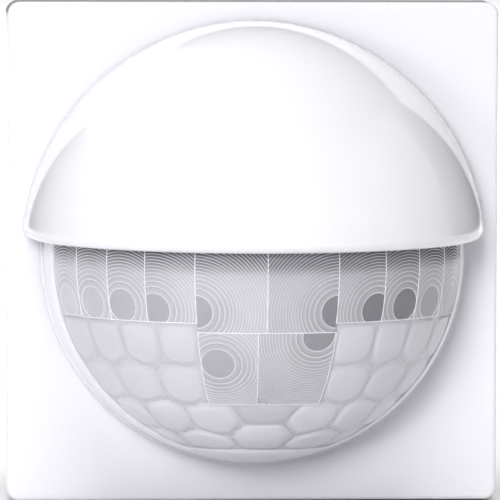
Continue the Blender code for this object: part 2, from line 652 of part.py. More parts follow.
def make_socket():
    socket = box("socket", (-9 * MM, -SOCKET_FRONT, -5 * MM), (9 * MM, SOCKET_BACK, 5 * MM), BLACK_PLASTIC)
    return cut(socket, box("socket_well", (-6.3 * MM, -REACH, -1.5 * MM), (6.3 * MM, 2.9 * MM, 1.5 * MM)))


def make_power_board():
    board = cylinder("power_board", INSERT_RADIUS - INSERT_WALL - 0.4 * MM, POWER_BOARD_Y,
                     POWER_BOARD_Y + BOARD_THICKNESS, BOARD_GREEN, turn=BACK, segments=DISC_STEPS)
    return cut(board, side_blocks("board_sides", INNER_SIDE_X - GAP, INNER_SIDE_HEIGHT + GAP))


def make_power_parts():
    base = POWER_BOARD_Y + BOARD_THICKNESS + GAP
    box("relay", (-15.5 * MM, base, -4.5 * MM), (4 * MM, base + 15.5 * MM, 6 * MM), BLACK_PLASTIC)
    box("supply_capacitor", (5.5 * MM, base, -5 * MM), (16.3 * MM, base + 12 * MM, 5.5 * MM), ORANGE_PLASTIC)
    can = [(0, 15 * MM), (3.6 * MM, 15 * MM), (4 * MM, 14.6 * MM), (4 * MM, 0), (0, 0)]
    backwards = (-math.pi / 2, 0, 0)
    turned("smoothing_capacitor", can, BLACK_PLASTIC, location=(-8 * MM, base, 13.5 * MM), rotation=backwards)
    cylinder("varistor", 5 * MM, -1.8 * MM, 1.8 * MM, BLUE_PLASTIC, turn=ALONG_X,
             location=(3 * MM, base + 5.3 * MM, 13.5 * MM))
    cap = [(0, 8 * MM), (2.2 * MM, 8 * MM), (2.6 * MM, 7.6 * MM), (2.6 * MM, 0), (0, 0)]
    turned("fuse", cap, BROWN_PLASTIC, location=(11 * MM, base, 13 * MM), rotation=backwards)


def make_terminals():
    """A block with one well for each wire: a clamp cage, and a button that opens the clamp."""
    base = POWER_BOARD_Y + BOARD_THICKNESS + GAP
    back = INSERT_DEPTH - INSERT_WALL - GAP
    half_width, half_height = 14.4 * MM, 5.0 * MM
    block = box("terminal_block", (-half_width, base, TERMINAL_Z - half_height),
                (half_width, back, TERMINAL_Z + half_height), WHITE_MATT)
    wells = []
    for column, number in ((-1, 1), (0, 2), (1, 3)):
        x = column * TERMINAL_SPACING
        well_half = 3.7 * MM
        wells.append(((x - well_half, 14 * MM, TERMINAL_Z - 4.1 * MM),
                      (x + well_half, REACH, TERMINAL_Z + 4.3 * MM)))

        cage_half, sheet = 3.3 * MM, 0.6 * MM
        low, high = WIRE_Z - 1.8 * MM, WIRE_Z + 2.2 * MM
        cage = box(f"terminal_clamp_{number}", (x - cage_half, 15 * MM, low),
                   (x + cage_half, 27 * MM, high), BRASS)
        cut(cage, box(f"clamp_way_{number}", (x - cage_half + sheet, -REACH, low + sheet),
                      (x + cage_half - sheet, REACH, high - sheet)))

        stem, collar = 1.3 * MM, 1.8 * MM
        button = [(0, 31 * MM), (stem, 31 * MM), (stem, 27.6 * MM), (collar, 27.6 * MM), (collar, 25.4 * MM),
                  (stem, 25.4 * MM), (stem, 20 * MM), (0, 20 * MM)]
        turned(f"release_button_{number}", button, ORANGE_PLASTIC, steps=20, location=(x, 0, BUTTON_Z),
               rotation=(-math.pi / 2, 0, 0))
    return cut(block, boxes("terminal_wells", wells))


def build():
    make_cover_plate()
    make_head_base()
    make_retaining_ring()
    make_hood()
    make_lens()
    frame = make_control_frame()
    make_control_housing(frame)
    make_dials(frame)
    make_mode_switch(frame)
    make_control_board(frame)
    make_sensor_board()
    make_detectors(make_sensor_bracket())
    make_board_parts()
    make_plug()
    make_support_ring()
    make_ring_screws()
    make_claws()
    make_insert_body()
    make_insert_cover()
    make_socket()
    make_power_board()
    make_power_parts()
    make_terminals()


build()
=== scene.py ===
"""Looks of the flush wall motion sensor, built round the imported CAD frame.

Everything is in metres in the frame's own axes: +Z up, +X to the right and -Y into the room. The hood, the
lens and the control housing are domes about one centre, just in front of the cover plate.
"""
import math

import bmesh
import bpy
import numpy as np
from mathutils import Matrix, Quaternion, Vector


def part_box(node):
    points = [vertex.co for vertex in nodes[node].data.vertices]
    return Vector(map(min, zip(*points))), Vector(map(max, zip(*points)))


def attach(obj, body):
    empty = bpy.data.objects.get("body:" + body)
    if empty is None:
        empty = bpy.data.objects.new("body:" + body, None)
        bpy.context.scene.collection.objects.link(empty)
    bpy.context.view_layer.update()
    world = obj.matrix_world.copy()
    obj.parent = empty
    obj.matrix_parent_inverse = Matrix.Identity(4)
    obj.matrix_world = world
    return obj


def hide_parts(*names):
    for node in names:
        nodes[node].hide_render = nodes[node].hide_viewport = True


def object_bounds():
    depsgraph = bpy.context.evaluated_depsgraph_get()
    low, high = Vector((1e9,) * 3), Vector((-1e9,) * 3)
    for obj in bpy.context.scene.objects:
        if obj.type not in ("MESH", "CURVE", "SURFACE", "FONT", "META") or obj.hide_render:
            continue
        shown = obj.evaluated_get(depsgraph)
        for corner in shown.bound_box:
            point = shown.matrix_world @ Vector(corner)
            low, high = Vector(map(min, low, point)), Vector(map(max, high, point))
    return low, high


MM = 0.001
UP = Vector((0, 0, 1))
AXIS = Vector((0, -1, 0))               # of the domes, out of the wall

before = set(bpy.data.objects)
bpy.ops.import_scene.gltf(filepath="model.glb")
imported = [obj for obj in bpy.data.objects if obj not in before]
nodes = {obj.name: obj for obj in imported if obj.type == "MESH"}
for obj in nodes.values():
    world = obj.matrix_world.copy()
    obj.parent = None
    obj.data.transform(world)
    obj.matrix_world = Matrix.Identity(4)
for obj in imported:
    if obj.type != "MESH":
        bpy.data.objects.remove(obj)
cad_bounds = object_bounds()

plate_low, plate_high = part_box("cover_plate")
hood_low, hood_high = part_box("hood")
lens_low, lens_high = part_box("fresnel_lens")

CENTRE = Vector((0, -9.0 * MM, 0))
HOOD_RADIUS = 33.2 * MM
LENS_RADIUS = CENTRE.y - lens_low.y
HOOD_WALL = 2.0 * MM
LENS_WALL = 1.0 * MM


# ---------------------------------------------------------------- materials

def new_material(name, **inputs):
    """A Principled material and a function that adds a node to it."""
    material = bpy.data.materials.new(name)
    material.use_nodes = True
    tree = material.node_tree
    shader = tree.nodes["Principled BSDF"]
    for key, value in inputs.items():
        shader.inputs[key.replace("_", " ")].default_value = value

    def add(kind, links=(), **settings):
        node = tree.nodes.new(kind)
        for key, value in settings.items():
            if hasattr(node, key):
                setattr(node, key, value)
            else:
                node.inputs[key.replace("_", " ")].default_value = value
        for socket, source in links:
            tree.links.new(source, node.inputs[socket])
        return node

    def link(source, target):
        tree.links.new(source, shader.inputs[target])

    return material, add, link


def shades(add, link, factor, dark, light, target="Base Color"):
    """Runs from the dark to the light colour, or number, with a factor socket."""
    if isinstance(dark, tuple):
        mix = add("ShaderNodeMix", data_type="RGBA")
        mix.inputs[6].default_value = (*dark, 1.0)
        mix.inputs[7].default_value = (*light, 1.0)
        result = mix.outputs[2]
    else:
        mix = add("ShaderNodeMix", data_type="FLOAT")
        mix.inputs[2].default_value = dark
        mix.inputs[3].default_value = light
        result = mix.outputs[0]
    mix.id_data.links.new(factor, mix.inputs[0])
    if target:
        link(result, target)
    return result


def scaled(color, amount):
    return tuple(min(1.0, channel * amount) for channel in color)


def plastic(name, color, roughness, grain=0.25 * MM, depth=0.004 * MM, mottle=0.02, gloss=0.0):
    """Moulded plastic: a fine grain in its relief, and slow changes of tone and of roughness."""
    inputs = {"IOR": 1.49, "Coat_Weight": gloss, "Coat_Roughness": 0.04}
    material, add, link = new_material(name, **inputs)
    place = add("ShaderNodeTexCoord").outputs["Object"]
    slow = add("ShaderNodeTexNoise", [("Vector", place)], Scale=1 / (9 * MM), Detail=3.0)
    shades(add, link, slow.outputs["Fac"], scaled(color, 1 - mottle), scaled(color, 1 + mottle))
    fine = add("ShaderNodeTexNoise", [("Vector", place)], Scale=1 / grain, Detail=2.0)
    shades(add, link, fine.outputs["Fac"], roughness * 0.85, roughness * 1.15, "Roughness")
    bump = add("ShaderNodeBump", [("Height", fine.outputs["Fac"])], Distance=depth, Strength=1.0)
    link(bump.outputs["Normal"], "Normal")
    return material


def metal(name, color, roughness, grain=0.5 * MM, scratches=0.35, blotch=(0.85, 0.9, 1.0)):
    """Plated sheet: a crystalline mottle, fine scratches and a faint change of tint."""
    material, add, link = new_material(name, Metallic=1.0)
    place = add("ShaderNodeTexCoord").outputs["Object"]
    crystals = add("ShaderNodeTexVoronoi", [("Vector", place)], Scale=1 / grain)
    slow = add("ShaderNodeTexNoise", [("Vector", place)], Scale=1 / (4 * MM), Detail=5.0)
    tint = tuple(a * b for a, b in zip(color, blotch))
    shades(add, link, slow.outputs["Fac"], tint, color)
    stretch = add("ShaderNodeMapping", [("Vector", place)])
    stretch.inputs["Scale"].default_value = (1.0, 1.0, 0.04)
    lines = add("ShaderNodeTexNoise", [("Vector", stretch.outputs["Vector"])],
                Scale=1 / (0.08 * MM), Detail=2.0)
    mix = add("ShaderNodeMix", [(0, lines.outputs["Fac"])], data_type="FLOAT")
    mix.inputs[2].default_value = roughness * (1 - scratches)
    mix.inputs[3].default_value = roughness * (1 + scratches)
    link(mix.outputs[0], "Roughness")
    bump = add("ShaderNodeBump", [("Height", crystals.outputs["Distance"])],
               Distance=0.003 * MM, Strength=0.5)
    link(bump.outputs["Normal"], "Normal")
    return material


def circuit_board(name, mask, copper):
    """Solder mask over copper tracks, which run square to each other."""
    material, add, link = new_material(name, IOR=1.5, Coat_Weight=0.4, Coat_Roughness=0.15)
    place = add("ShaderNodeTexCoord").outputs["Object"]
    cells = add("ShaderNodeTexVoronoi", [("Vector", place)], feature="F1", distance="CHEBYCHEV",
                Scale=1 / (2.6 * MM), Randomness=0.75)
    tracks = add("ShaderNodeMath", [(0, cells.outputs["Distance"])], operation="PINGPONG")
    tracks.inputs[1].default_value = 0.16
    edge = add("ShaderNodeMapRange", [("Value", tracks.outputs[0])])
    for key, value in {"From Min": 0.07, "From Max": 0.09, "To Min": 0.0, "To Max": 1.0}.items():
        edge.inputs[key].default_value = value
    shades(add, link, edge.outputs["Result"], mask, copper)
    shades(add, link, edge.outputs["Result"], 0.45, 0.32, "Roughness")
    bump = add("ShaderNodeBump", [("Height", edge.outputs["Result"])], Distance=0.03 * MM, Strength=1.0)
    link(bump.outputs["Normal"], "Normal")
    return material


def lens_plastic(name, dark, light):
    """Milky lens plastic. The mesh's tone says where it is clear and dark and where thick and white, and it
    also carries painted shade and light: shade in the grooves under the hood, on the facets away from the
    light and in the creases, highlights on the crests, and light on the rim and the lower facets.
    """
    material, add, link = new_material(name, IOR=1.5, Coat_Weight=0.25, Coat_Roughness=0.12)
    tone = add("ShaderNodeAttribute", attribute_name="tone")
    place = add("ShaderNodeTexCoord").outputs["Object"]
    slow = add("ShaderNodeTexNoise", [("Vector", place)], Scale=1 / (5 * MM), Detail=4.0)
    shift = add("ShaderNodeMath", [(0, slow.outputs["Fac"])], operation="MULTIPLY_ADD")
    shift.inputs[1].default_value = 0.12
    shift.inputs[2].default_value = -0.06
    total = add("ShaderNodeMath", [(0, tone.outputs["Fac"]), (1, shift.outputs[0])], operation="ADD")
    shades(add, link, total.outputs[0], dark, light)
    shades(add, link, tone.outputs["Fac"], 0.22, 0.38, "Roughness")
    fine = add("ShaderNodeTexNoise", [("Vector", place)], Scale=1 / (0.3 * MM), Detail=2.0)
    bump = add("ShaderNodeBump", [("Height", fine.outputs["Fac"])], Distance=0.003 * MM, Strength=1.0)
    link(bump.outputs["Normal"], "Normal")
    return material


PLATE_WHITE = plastic("plate_white", (0.86, 0.852, 0.885), 0.16, depth=0.0008 * MM, mottle=0.004, gloss=0.3)
HOOD_WHITE = plastic("hood_white", (0.87, 0.862, 0.893), 0.13, depth=0.0006 * MM, mottle=0.004, gloss=0.4)
LENS_MILKY = lens_plastic("lens_milky", (0.28, 0.272, 0.295), (0.95, 0.935, 0.98))
BASE_WHITE = plastic("base_white", (0.86, 0.852, 0.885), 0.35, mottle=0.02)
HOUSING_WHITE = plastic("housing_white", (0.80, 0.80, 0.78), 0.4, grain=0.35 * MM, depth=0.01 * MM)
GREY = plastic("grey_plastic", (0.30, 0.32, 0.34), 0.5, grain=0.35 * MM, depth=0.014 * MM, mottle=0.05)
BLACK = plastic("black_plastic", (0.028, 0.028, 0.030), 0.45, depth=0.01 * MM, mottle=0.1)
BLUE = plastic("blue_plastic", (0.04, 0.14, 0.40), 0.35, mottle=0.06)
ORANGE = plastic("orange_plastic", (0.72, 0.22, 0.03), 0.35, mottle=0.04)
YELLOW = plastic("capacitor_yellow", (0.75, 0.45, 0.06), 0.35, mottle=0.04)
SLEEVE = plastic("capacitor_sleeve", (0.02, 0.02, 0.04), 0.2, mottle=0.1, gloss=0.3)
BROWN = plastic("fuse_brown", (0.22, 0.10, 0.05), 0.4, mottle=0.06)
WINDOW = plastic("dark_window", (0.03, 0.03, 0.035), 0.08, depth=0.0005 * MM, mottle=0.05)
LED_RED = plastic("led_red", (0.75, 0.18, 0.12), 0.1, depth=0.0005 * MM, mottle=0.03, gloss=0.4)
BOARD = circuit_board("board_green", (0.015, 0.12, 0.05), (0.04, 0.24, 0.10))
STEEL = metal("zinc_steel", (0.66, 0.67, 0.69), 0.34)
BRASS = metal("brass", (0.80, 0.62, 0.30), 0.28, blotch=(1.0, 0.92, 0.8))


# ---------------------------------------------------------------- mesh building

def grid_faces(bm, rows, closed_rows=False, closed_columns=False):
    """Quads between rows of vertices of equal length, without the ones that have no area."""
    count = len(rows[0])
    pairs = list(zip(rows, rows[1:]))
    if closed_rows:
        pairs.append((rows[-1], rows[0]))
    for first, second in pairs:
        for i in range(count if closed_columns else count - 1):
            j = (i + 1) % count
            corners = []
            for vert in (first[i], first[j], second[j], second[i]):
                if vert not in corners:
                    corners.append(vert)
            if len(corners) > 2:
                bm.faces.new(corners)


def shown(name, bm, material, body, slot, *stands_for, sharp=40.0):
    """Turns a bmesh into a piece that rides on a body and may stand for CAD nodes."""
    bmesh.ops.recalc_face_normals(bm, faces=bm.faces)
    mesh = bpy.data.meshes.new(name)
    bm.to_mesh(mesh)
    bm.free()
    mesh.shade_smooth()
    mesh.set_sharp_from_angle(angle=math.radians(sharp))
    mesh.materials.append(material)
    piece = bpy.data.objects.new(name, mesh)
    bpy.context.scene.collection.objects.link(piece)
    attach(piece, body)
    if stands_for:
        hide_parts(*stands_for)
    return piece


def arc_points(centre, radius, start, end, steps):
    """Points of an arc in a plane, from one angle to another, in radians."""
    points = []
    for step in range(steps + 1):
        angle = start + (end - start) * step / steps
        points.append((centre[0] + radius * math.cos(angle), centre[1] + radius * math.sin(angle)))
    return points


# ---------------------------------------------------------------- hood

LIP_RADIUS = 1.5 * MM                   # outer rounding of the hood's lower edge
LIP_INNER = 0.35 * MM
HOOD_TURNS = 160


def hood_profile():
    """Closed outline (radius, height) of the hood's section, down the outside and back up the inside."""
    bottom = hood_low.z
    inner = HOOD_RADIUS - HOOD_WALL
    lip = (math.sqrt((HOOD_RADIUS - LIP_RADIUS) ** 2 - (bottom + LIP_RADIUS) ** 2), bottom + LIP_RADIUS)
    lip_angle = math.atan2(lip[1], lip[0])
    edge = (math.sqrt((inner + LIP_INNER) ** 2 - (bottom + LIP_INNER) ** 2), bottom + LIP_INNER)
    edge_angle = math.atan2(edge[1], edge[0])
    quarter = math.pi / 2
    outside = arc_points((0, 0), HOOD_RADIUS, quarter, lip_angle, 80)
    outer_lip = arc_points(lip, LIP_RADIUS, lip_angle, -quarter, 12)[1:]
    inner_lip = arc_points(edge, LIP_INNER, -quarter, edge_angle - math.pi, 5)
    inside = arc_points((0, 0), inner, edge_angle, quarter, 48)[1:]
    return outside + outer_lip + inner_lip + inside


def make_hood():
    """A quarter of a ball, turned about the upright axis. Its back edge runs straight to the flange."""
    bm = bmesh.new()
    profile = hood_profile()
    back = hood_high.y - CENTRE.y
    angles = [math.pi * step / HOOD_TURNS - math.pi / 2 for step in range(HOOD_TURNS + 1)]
    stations = [(angle, 0.0) for angle in angles]
    stations = [(angles[0], back), *stations, (angles[-1], back)]
    rows = []
    for angle, offset in stations:
        row = []
        for radius, height in profile:
            place = Vector((radius * math.sin(angle), offset - radius * math.cos(angle), height))
            row.append(bm.verts.new(CENTRE + place))
        rows.append(row)
    grid_faces(bm, rows, closed_columns=True)
    bm.faces.new(rows[0])
    bm.faces.new(rows[-1])
    bmesh.ops.remove_doubles(bm, verts=bm.verts, dist=1e-6)
    for side in (-1, 1):
        add_catch(bm, side)
    return shown("hood_shell", bm, HOOD_WHITE, "hood", "hood_white", "hood", sharp=50)


def add_catch(bm, side):
    """A rounded nib inside the hood, which snaps over the control housing."""
    inner = HOOD_RADIUS - HOOD_WALL
    size = Vector((1.7, 2.8, 3.0)) * MM
    middle = Vector((side * (inner - 0.55 * MM), -10.6 * MM, 6.5 * MM))
    place = Matrix.Translation(middle) @ Matrix.Diagonal((*size, 1))
    made = bmesh.ops.create_cube(bm, size=1.0, matrix=place)["verts"]
    edges = list({edge for vert in made for edge in vert.link_edges})
    bmesh.ops.bevel(bm, geom=edges, offset=0.3 * MM, segments=3, profile=0.5, affect="EDGES")


# ---------------------------------------------------------------- cover plate

PLATE_CORNER = 1.8 * MM
PLATE_EDGE = 0.6 * MM
PLATE_WALL = 2.0 * MM
PLATE_HOLE = 27.3 * MM
PLATE_RING = 32 * MM                    # radius of the loop between the hole and the plate's edges
STRAIGHT_STEPS = 24
CORNER_STEPS = 12


def rounded_rectangle(half_x, half_z, radius):
    """Points (x, z) round a rectangle, anticlockwise from its right side, with rounded corners."""
    points = []
    quarter = math.pi / 2
    for corner, (sx, sz) in enumerate(((1, 1), (-1, 1), (-1, -1), (1, -1))):
        centre = (sx * (half_x - radius), sz * (half_z - radius))
        points += arc_points(centre, radius, corner * quarter, (corner + 1) * quarter, CORNER_STEPS)
        ahead = ((-1, 1), (-1, -1), (1, -1), (1, 1))[corner]
        target = (ahead[0] * (half_x - radius), ahead[1] * (half_z - radius))
        start = points[-1]
        end = (target[0] + radius * math.cos((corner + 1) * quarter),
               target[1] + radius * math.sin((corner + 1) * quarter))
        for step in range(1, STRAIGHT_STEPS):
            share = step / STRAIGHT_STEPS
            points.append((start[0] + (end[0] - start[0]) * share, start[1] + (end[1] - start[1]) * share))
    return points


def make_cover_plate():
    """Loops from the rim at the wall, over the rounded front edge, into the round hole and back inside."""
    half_x, half_z = plate_high.x, plate_high.z
    front, back = plate_low.y, plate_high.y
    outline = rounded_rectangle(half_x, half_z, PLATE_CORNER)
    angles = [math.atan2(z, x) for x, z in outline]

    def inset(amount, y):
        radius = max(PLATE_CORNER - amount, 0.25 * MM)
        return [(x, y, z) for x, z in rounded_rectangle(half_x - amount, half_z - amount, radius)]

    def circle(radius, y):
        return [(radius * math.cos(angle), y, radius * math.sin(angle)) for angle in angles]

    rim = 0.2 * MM
    loops = [inset(rim, back), inset(0, back - rim)]
    for amount, depth in arc_points((PLATE_EDGE, 0), PLATE_EDGE, math.pi, math.pi / 2, 8):
        loops.append(inset(amount, front + PLATE_EDGE - depth))
    loops += [inset(2 * PLATE_EDGE, front), circle(PLATE_RING, front), circle(PLATE_HOLE + rim, front)]
    loops += [circle(PLATE_HOLE, front + rim), circle(PLATE_HOLE, front + PLATE_WALL)]
    loops += [circle(PLATE_RING, front + PLATE_WALL), inset(PLATE_WALL + rim, front + PLATE_WALL)]
    loops += [inset(PLATE_WALL, front + PLATE_WALL + rim), inset(PLATE_WALL, back)]
    bm = bmesh.new()
    rows = [[bm.verts.new(point) for point in loop] for loop in loops]
    grid_faces(bm, rows, closed_rows=True, closed_columns=True)
    return shown("plate_shell", bm, PLATE_WHITE, "head", "plate_white", "cover_plate", sharp=35)


# ---------------------------------------------------------------- lens
# Directions from the domes' centre are given as azimuth and elevation in degrees, 0, 0 being straight ahead.
# A limit is (normal, offset): the directions d with normal . d <= offset are inside.

FIELD_DEPTH = 0.35 * MM                 # how deep the shell lies under the tops of its facets
FACET_ROOT = 0.50 * MM                  # how deep the facets' sides reach
LENS_BACK = lens_high.y
LENS_TOP = lens_high.z
GROOVE = 0.065 * MM                     # depth of a Fresnel step
CREST_DEPTH = 0.03 * MM
DISC_RADIUS = 2.35 * MM                 # first zone of each Fresnel pattern
LONGEST_RING = 13 * MM                  # where every Fresnel pattern has passed its facet's limits
FINEST_PITCH = 0.42 * MM
FAINTEST_RING = 0.5                     # share of depth and contrast left to the rings halfway out
SHADE_BOTTOM, SHADE_TOP = -0.040, 0.04  # heights, as shares of the radius, over which painted shade of the hood darkens the grooves
STEP_WIDTH = 0.06 * MM
CREST_WIDTH = 0.12 * MM
DISC_TONE, DISC_DARKENING = 0.60, 0.60   # tone of a milky facet, and how much darker its clear-and-shade value makes it: the shaded inside seen through, and painted shade
# tones of the rings' slopes and of the ground they fade to, darkened the same way
SLOPE_TONE, GROUND_TONE, RING_DARKENING = 0.60, 0.66, 0.25
HIDDEN_TONE = 0.5                       # of the surfaces behind the facets
FRESNEL_BEARINGS, PILLOW_BEARINGS, SHELL_BEARINGS = 150, 96, 144
ROW_TOP = 5.0
SIDE_BOTTOM = -15.4
MIDDLE_BOTTOM = -18.0
SECOND_BOTTOM = -41.2
FIELD_BOTTOM = -65.0
FIELD_ANGLE = 74.5                      # off the domes' axis
ROW_EDGES = (0.0, 19.6, 34.2, 46.9, 59.7, 74.0)
ROW_CENTRES = ((19.6, -12.2), (31.8, -12.0), (42.3, -11.2), (53.7, -11.2), (66.3, -11.6))
LEFT_CLEAR_AND_SHADE = (0.54, 0.50, 0.40, 0.20, 0.05)     # how dark each facet is painted: the shaded inside seen through it, and painted shade on the facets away from the light
# higher on the right: painted shade on the side away from the light at the upper left
RIGHT_CLEAR_AND_SHADE = (0.90, 1.0, 1.0, 0.6, 0.3)
# left and right facet of the second row; the right one carries more painted shade
SECOND_CLEAR_AND_SHADE = (0.42, 0.72)
SECOND_EDGES = (-19.6, -2.4, 20.2)
SECOND_CENTRES = ((-14.4, -27.3), (15.0, -18.9))
PILLOW_SHIFT = 0.8                      # of the smooth facets' rows to the right
PILLOW_ROWS = ((-21.7, (26.6, 39.8, 52.7, 66.5)), (-35.0, (27.6, 45.3, 63.0)),
               (-48.3, (21.5, 41.0, 60.0)), (-60.5, (31.0, 60.0)))
# Known fault: the last two facets, at 60.0 in the lowest row, have their middles beyond FIELD_ANGLE, so their
# meshes run back through the plate into the insert, and the right one shows behind it.
FRONT_FACET = (0.8, -57.0)
PLAIN_FACET = (0.4, -42.3)


def direction(azimuth, elevation):
    azimuth, elevation = math.radians(azimuth), math.radians(elevation)
    level = math.cos(elevation)
    return Vector((math.sin(azimuth) * level, -math.cos(azimuth) * level, math.sin(elevation)))


def left_of(azimuth):
    angle = math.radians(azimuth)
    return Vector((math.cos(angle), math.sin(angle), 0)), 0.0


def right_of(azimuth):
    normal, offset = left_of(azimuth)
    return -normal, -offset


def below(elevation):
    return UP.copy(), math.sin(math.radians(elevation))


def above(elevation):
    normal, offset = below(elevation)
    return -normal, -offset


def nearer(own, other):
    """The side of the plane halfway between two directions that holds the first."""
    return (other - own).normalized(), 0.0


IN_FIELD = (-AXIS, -math.cos(math.radians(FIELD_ANGLE)))


def tangents(middle):
    across = middle.cross(UP).normalized()
    return across, across.cross(middle)


def reach(middle, bearing, limits):
    """Angle from the middle to the nearest limit along a bearing, if the middle is inside every limit."""
    across, upwards = tangents(middle)
    along = across * math.cos(bearing) + upwards * math.sin(bearing)
    best = math.pi / 2
    for normal, offset in limits:
        a, b = normal.dot(middle), normal.dot(along)
        size = math.hypot(a, b)
        if size > abs(offset):
            root = (math.atan2(b, a) - math.acos(offset / size)) % (2 * math.pi)
            best = min(best, root)
    return best


def close_facet(bm, rim, middle, tone):
    """Carries the rim of a facet down into the lens's shell and closes it there."""
    root = LENS_RADIUS - FACET_ROOT
    bottom = bm.verts.new(middle * root)
    bottom[tone] = HIDDEN_TONE
    low = {}
    for edge in rim:
        for vert in edge.verts:
            if vert not in low:
                low[vert] = bm.verts.new(vert.co.normalized() * root)
                low[vert][tone] = HIDDEN_TONE
    for edge in rim:
        first, second = edge.verts
        bm.faces.new((first, second, low[second], low[first]))
        bm.faces.new((low[first], low[second], bottom))


def fresnel_zones(longest, clear_and_shade):
    """Knots (distance from the pattern's middle, depth under the lens's radius, tone)."""
    # painted shade: the clear-and-shade value darkens the disc and the slopes
    disc = DISC_TONE - DISC_DARKENING * clear_and_shade
    slope = SLOPE_TONE - RING_DARKENING * clear_and_shade
    knots = [(0.0, CREST_DEPTH, disc), (DISC_RADIUS * 0.5, CREST_DEPTH + GROOVE * 0.2, disc),
             (DISC_RADIUS * 0.85, CREST_DEPTH + GROOVE * 0.7, disc)]
    zone = 1
    edge = DISC_RADIUS
    while edge < longest:
        following = max(DISC_RADIUS * math.sqrt(zone + 1), edge + FINEST_PITCH)
        # painted shade at the foot of each step, and a painted highlight of full tone on each crest
        knots.append((edge - STEP_WIDTH / 2, CREST_DEPTH + GROOVE, slope - 0.12 if zone > 1 else disc))
        knots.append((edge + STEP_WIDTH / 2, CREST_DEPTH, 1.0))
        past_crest = CREST_DEPTH + GROOVE * CREST_WIDTH / (following - edge)
        knots.append((edge + CREST_WIDTH, past_crest, slope))
        edge = following
        zone += 1
    return np.array(knots).T


def ring_strength(distance, height):
    """How strongly a pattern's rings show, in depth and tone: fully round its disc and under the hood, where
    their darkened grooves are painted shade, and less between.
    """
    near_disc = np.interp(distance, (1.5 * DISC_RADIUS, 2.6 * DISC_RADIUS), (1.0, FAINTEST_RING))
    under_hood = np.interp(height, (SHADE_BOTTOM, SHADE_TOP), (FAINTEST_RING, 1.0))
    return max(near_disc, under_hood)


def fresnel_facet(lens, middle, limits, clear_and_shade):
    """Rings round the middle, cut square at the facet's limits."""
    zones = fresnel_zones(LONGEST_RING, clear_and_shade)
    # painted shade: the ground between the rings darkens with the clear-and-shade value
    ground = GROUND_TONE - RING_DARKENING * clear_and_shade
    bm = bmesh.new()
    tone = bm.verts.layers.float.new("tone")
    across, upwards = tangents(middle)
    rows = [[bm.verts.new(middle)] * FRESNEL_BEARINGS]
    for distance in zones[0][1:]:
        angle = distance / LENS_RADIUS
        row = []
        for step in range(FRESNEL_BEARINGS):
            turn = 2 * math.pi * step / FRESNEL_BEARINGS
            along = across * math.cos(turn) + upwards * math.sin(turn)
            row.append(bm.verts.new(middle * math.cos(angle) + along * math.sin(angle)))
        rows.append(row)
    grid_faces(bm, rows, closed_columns=True)
    for normal, offset in limits:
        bmesh.ops.bisect_plane(bm, geom=[*bm.verts, *bm.edges, *bm.faces], dist=1e-6,
                               plane_co=normal * offset, plane_no=normal, clear_outer=True)
    rim = [edge for edge in bm.edges if edge.is_boundary]
    for vert in bm.verts:
        outward = vert.co.normalized()
        distance = math.acos(min(1.0, outward.dot(middle))) * LENS_RADIUS
        strength = ring_strength(distance, outward.z)
        depth = np.interp(distance, zones[0], zones[1])
        vert.co = outward * (LENS_RADIUS - CREST_DEPTH - (depth - CREST_DEPTH) * strength)
        # painted shade of the hood: near its lip the tones are pushed darker
        hood_shade_contrast = np.interp(outward.z, (SHADE_BOTTOM, SHADE_TOP), (1.0, 1.8))
        shade = ground + (np.interp(distance, zones[0], zones[2]) - ground) * strength
        vert[tone] = 1.0 - (1.0 - shade) * hood_shade_contrast
    inside = sum((vert.co.normalized() for vert in bm.verts), Vector()).normalized()
    close_facet(bm, rim, inside, tone)
    gather(lens, bm)


PILLOW_RINGS = (0.25, 0.45, 0.6, 0.7, 0.78, 0.84, 0.89, 0.93, 0.965, 1.0)
PILLOW_EDGE = 0.60 * MM                 # how far in a smooth facet's edge is rounded
PILLOW_VALLEY = 0.12 * MM               # half the width of the floor between two of them
PILLOW_CORNER = 0.70 * MM
PILLOW_DROP = 0.21 * MM
PILLOW_CROWN = 0.15 * MM


def pillow_facet(lens, middle, limits, drop=PILLOW_DROP, crown=PILLOW_CROWN, shade=0.62):
    """A smooth cushion-shaped facet, rounded down to the creases round it."""
    bm = bmesh.new()
    tone = bm.verts.layers.float.new("tone")
    across, upwards = tangents(middle)
    rows = [[bm.verts.new(middle * (LENS_RADIUS - 0.01 * MM))] * PILLOW_BEARINGS]
    rows[0][0][tone] = shade
    ring_verts = {share: [] for share in PILLOW_RINGS}
    for step in range(PILLOW_BEARINGS):
        turn = 2 * math.pi * step / PILLOW_BEARINGS
        along = across * math.cos(turn) + upwards * math.sin(turn)
        longest = reach(middle, turn, limits)
        for share in PILLOW_RINGS:
            angle = longest * share
            outward = middle * math.cos(angle) + along * math.sin(angle)
            gaps = [(offset - normal.dot(outward)) / math.sqrt(1 - offset ** 2) * LENS_RADIUS
                    for normal, offset in limits]
            nearness = sum(math.exp(-max(gap, 0) / PILLOW_CORNER) for gap in gaps)
            nearest = -PILLOW_CORNER * math.log(nearness)
            rise = min(max((nearest - PILLOW_VALLEY) / PILLOW_EDGE, 0.0), 1.0)
            fall = 1.0 - rise * rise * (3.0 - 2.0 * rise)
            depth = drop * fall + crown * share * share + 0.01 * MM
            vert = bm.verts.new(outward * (LENS_RADIUS - depth))
            # painted shade: darker down into the creases round the facet
            vert[tone] = shade - 0.06 * fall
            ring_verts[share].append(vert)
    rows += [ring_verts[share] for share in PILLOW_RINGS]
    grid_faces(bm, rows, closed_columns=True)
    rim = [edge for edge in bm.edges if edge.is_boundary]
    close_facet(bm, rim, middle, tone)
    gather(lens, bm)


def gather(lens, bm):
    """Adds one closed part to the lens's mesh."""
    bmesh.ops.recalc_face_normals(bm, faces=bm.faces)
    part = bpy.data.meshes.new("part")
    bm.to_mesh(part)
    bm.free()
    lens.from_mesh(part)
    bpy.data.meshes.remove(part)


